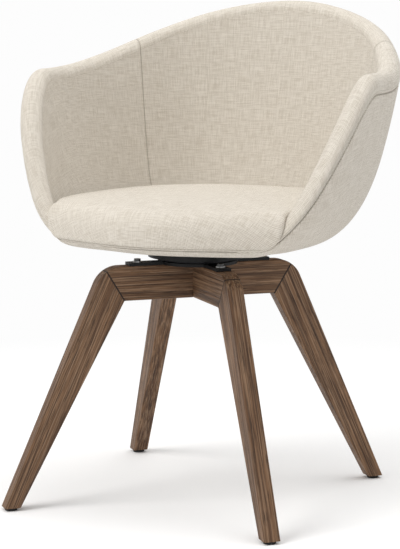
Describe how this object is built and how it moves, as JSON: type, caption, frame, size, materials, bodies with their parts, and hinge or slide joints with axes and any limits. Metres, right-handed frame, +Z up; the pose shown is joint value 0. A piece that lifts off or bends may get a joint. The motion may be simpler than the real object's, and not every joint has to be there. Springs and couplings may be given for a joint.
{
  "type": "swivel dining chair",
  "caption": "Upholstered tub chair with curved arms on four tapered wooden legs, turning on a ball-bearing swivel.",
  "frame": {"origin": "on the floor, under the middle of the outer box", "axes": "+Z up, the chair faces -Y, +X is the sitter's left"},
  "size_m": [0.632, 0.6503, 0.826],
  "materials": {
    "oak": "smoked oak, matt oil",
    "beech": "raw beech",
    "plywood": "raw birch plywood",
    "black_steel": "matt black powder coat",
    "bright_steel": "zinc plated",
    "bearing_steel": "oiled steel",
    "black_plastic": "matt black nylon",
    "core_plastic": "moulded polypropylene",
    "woven_fabric": "coarse basket weave, cream"
  },
  "bodies": {
    "base": {"leg_front_right": "oak", "leg_rear_right": "oak", "leg_rear_left": "oak", "leg_front_left": "oak", "glide_front_right": "black_plastic", "glide_rear_right": "black_plastic", "glide_rear_left": "black_plastic", "glide_front_left": "black_plastic", "rail_front_right_to_rear_left": "oak", "rail_rear_right_to_front_left": "oak", "mitre_tenons": "beech", "base_plate": "black_steel", "base_washers": "bright_steel", "base_bolts": "bright_steel", "rail_inserts": "bright_steel", "lower_race": "bearing_steel", "spindle": "bearing_steel", "spindle_washer": "bright_steel"},
    "seat": {"upper_race": "bearing_steel", "seat_plate": "black_steel", "seat_bolts": "bright_steel", "bottom_board": "plywood", "tee_nuts": "bright_steel", "upholstery_cover": "woven_fabric", "shell_core": "core_plastic", "seat_pad": "woven_fabric"},
    "cage": {"ball_cage": "bearing_steel", "bearing_balls": "bearing_steel"}
  },
  "joints": [
    {"name": "seat_swivel", "type": "hinge", "parent": "base", "child": "seat", "pos_m": [0, -0.07652, 0.41], "axis": [0, 0, 1], "continuous": true},
    {"name": "cage_turn", "type": "hinge", "parent": "base", "child": "cage", "pos_m": [0, -0.07652, 0.406], "axis": [0, 0, 1], "continuous": true}
  ],
  "couplings": [
    {"joint": "cage_turn", "follows": "seat_swivel", "ratio": 0.5}
  ]
}
